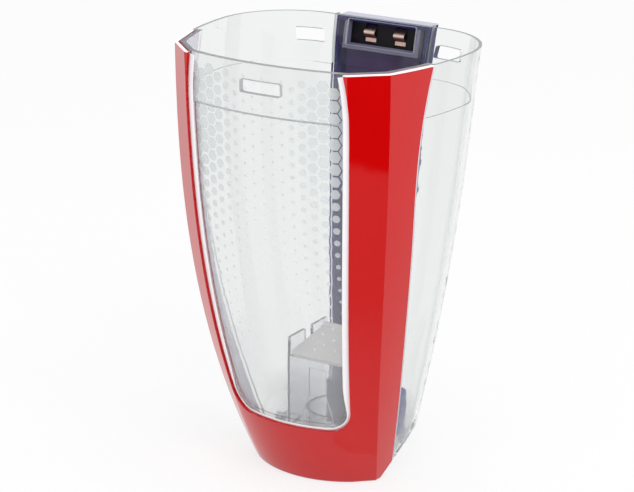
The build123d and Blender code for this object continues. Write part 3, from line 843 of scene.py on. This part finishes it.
class OBJECT_OT_dust_bin_clear(bpy.types.Operator):
    """Finish the clear cup and the clear inlet hood"""

    bl_idname = "object.dust_bin_clear"
    bl_label = "Clear Mouldings"

    def execute(self, context):
        # Styrene acrylonitrile, polished on the cup and a little scuffed on the hood
        cup = clear_styrene("clear_san", "#F4F6F5", 0.05, (0.12, 0.03), -24 * MM, True)
        hood = clear_styrene("clear_san_hood", "#F8F7FA", 0.12, (0.05, 0.05), 60 * MM, False)
        finish_node("dust_cup", cup)
        finish_node("inlet_hood", hood)
        return {"FINISHED"}


class OBJECT_OT_dust_bin_frame(bpy.types.Operator):
    """Finish the red front frame"""

    bl_idname = "object.dust_bin_frame"
    bl_label = "Red Frame"

    def execute(self, context):
        finish_node("front_frame", red_abs())
        return {"FINISHED"}


class OBJECT_OT_dust_bin_rail(bpy.types.Operator):
    """Finish the dark rail, its contact blocks and the rubber pieces"""

    bl_idname = "object.dust_bin_rail"
    bl_label = "Contact Rail"

    def execute(self, context):
        # ABS trunking, bluer towards its foot; its top face is painted pale as a highlight
        blue_foot = ("#252473", "#2E2D84", 110, 190)
        top_highlight_tone = "#C3C4D2"
        dull = (0.34, 0.46)
        navy = moulded_plastic("navy_abs", "#222155", "#2A2963", 0.8, dull, 0.12, blue_foot, top_highlight_tone)
        finish_node("rail_housing", navy)
        # PBT carriers of the contacts; the upper one is aubergine below the gasket
        ledge = node_box("contact_gasket")[0][2] / MM
        panel_foot = ("#2E1448", "#381A56", ledge, ledge + 2)
        panel = moulded_plastic("aubergine_pbt", "#08060C", "#0E0B13", 0.6, (0.4, 0.55), 0.2, panel_foot)
        socket = moulded_plastic("black_pbt", "#0B0A0C", "#121114", 0.6, (0.4, 0.55))
        finish_node("contact_block", panel)
        finish_node("lower_contact_block", socket)
        # Rubber pieces
        silicone = moulded_plastic("lilac_silicone", "#66627F", "#77738F", 1.0, (0.5, 0.7))
        rubber = moulded_plastic("black_rubber", "#141416", "#1C1C1F", 1.0, (0.6, 0.8))
        finish_node("contact_gasket", silicone)
        finish_node("inlet_seal", rubber)
        return {"FINISHED"}


class OBJECT_OT_dust_bin_metal(bpy.types.Operator):
    """Finish the copper contacts and busbars, the screws and the hinge pin"""

    bl_idname = "object.dust_bin_metal"
    bl_label = "Contacts and Screws"

    def execute(self, context):
        copper = metal("rolled_copper", "#D9A993", "#F3DBCB", 0.35, (0.16, 0.3))
        for place in ("upper_contact", "lower_contact", "busbar"):
            for side in ("left", "right"):
                finish_node(f"{place}_{side}", copper)
        steel = metal("zinc_plated_steel", "#DCDCE0", "#F0F0F3", 0.4, (0.3, 0.45))
        for name in ("flap_pin", "hood_screws", "rail_screws"):
            finish_node(name, steel)
        return {"FINISHED"}


class OBJECT_OT_dust_bin_flap(bpy.types.Operator):
    """Finish the inlet flap"""

    bl_idname = "object.dust_bin_flap"
    bl_label = "Inlet Flap"

    def execute(self, context):
        finish_node("inlet_flap", milky_polypropylene())
        return {"FINISHED"}


class OBJECT_OT_dust_bin_print(bpy.types.Operator):
    """Print the honeycomb inside the window"""

    bl_idname = "object.dust_bin_print"
    bl_label = "Window Print"

    def execute(self, context):
        points, faces = honeycomb(context.scene.dust_bin_print)
        piece = new_piece("window_print", points, faces, frosted_ink())
        return {"FINISHED"}


class OBJECT_OT_dust_bin_bead(bpy.types.Operator):
    """Frost the bead round the window"""

    bl_idname = "object.dust_bin_bead"
    bl_label = "Window Bead"

    def execute(self, context):
        points, faces = bead_strip(context.scene.dust_bin_print)
        frosted = moulded_plastic("frosted_san", "#F1F1F6", "#FBFBFD", 0.5, (0.45, 0.6))
        piece = new_piece("window_bead", points, faces, frosted)
        piece.data.shade_smooth()
        return {"FINISHED"}


class OBJECT_OT_dust_bin_stage(bpy.types.Operator):
    """Set up the floor, the light and the camera"""

    bl_idname = "object.dust_bin_stage"
    bl_label = "Stage"

    def execute(self, context):
        stage = context.scene.dust_bin_stage
        add_floor(stage)
        add_flag(stage)
        add_light(context.scene, stage)
        add_camera(context.scene, stage)
        context.scene.view_settings.view_transform = "Standard"
        return {"FINISHED"}


class VIEW3D_PT_dust_bin(bpy.types.Panel):
    """Steps and sizes of the dust bin"""

    bl_idname = "VIEW3D_PT_dust_bin"
    bl_label = "Dust Bin"
    bl_space_type = "VIEW_3D"
    bl_region_type = "UI"
    bl_category = "Dust Bin"

    def draw(self, context):
        for operator in OPERATORS:
            self.layout.operator(operator.bl_idname)
        for group in (context.scene.dust_bin_print, context.scene.dust_bin_stage):
            for key in group.__annotations__:
                self.layout.prop(group, key)


OPERATORS = (
    OBJECT_OT_dust_bin_clear,
    OBJECT_OT_dust_bin_frame,
    OBJECT_OT_dust_bin_rail,
    OBJECT_OT_dust_bin_metal,
    OBJECT_OT_dust_bin_flap,
    OBJECT_OT_dust_bin_print,
    OBJECT_OT_dust_bin_bead,
    OBJECT_OT_dust_bin_stage,
)
CLASSES = (DustBinPrintSettings, DustBinStageSettings, *OPERATORS, VIEW3D_PT_dust_bin)


def register():
    for cls in CLASSES:
        bpy.utils.register_class(cls)
    bpy.types.Scene.dust_bin_print = PointerProperty(type=DustBinPrintSettings)
    bpy.types.Scene.dust_bin_stage = PointerProperty(type=DustBinStageSettings)


def unregister():
    del bpy.types.Scene.dust_bin_stage
    del bpy.types.Scene.dust_bin_print
    for cls in reversed(CLASSES):
        bpy.utils.unregister_class(cls)


def main():
    """Build the looks in order."""
    register()
    bpy.ops.object.dust_bin_clear()
    bpy.ops.object.dust_bin_frame()
    bpy.ops.object.dust_bin_rail()
    bpy.ops.object.dust_bin_metal()
    bpy.ops.object.dust_bin_flap()
    bpy.ops.object.dust_bin_print()
    bpy.ops.object.dust_bin_bead()
    bpy.ops.object.dust_bin_stage()


if __name__ == "__main__":
    main()
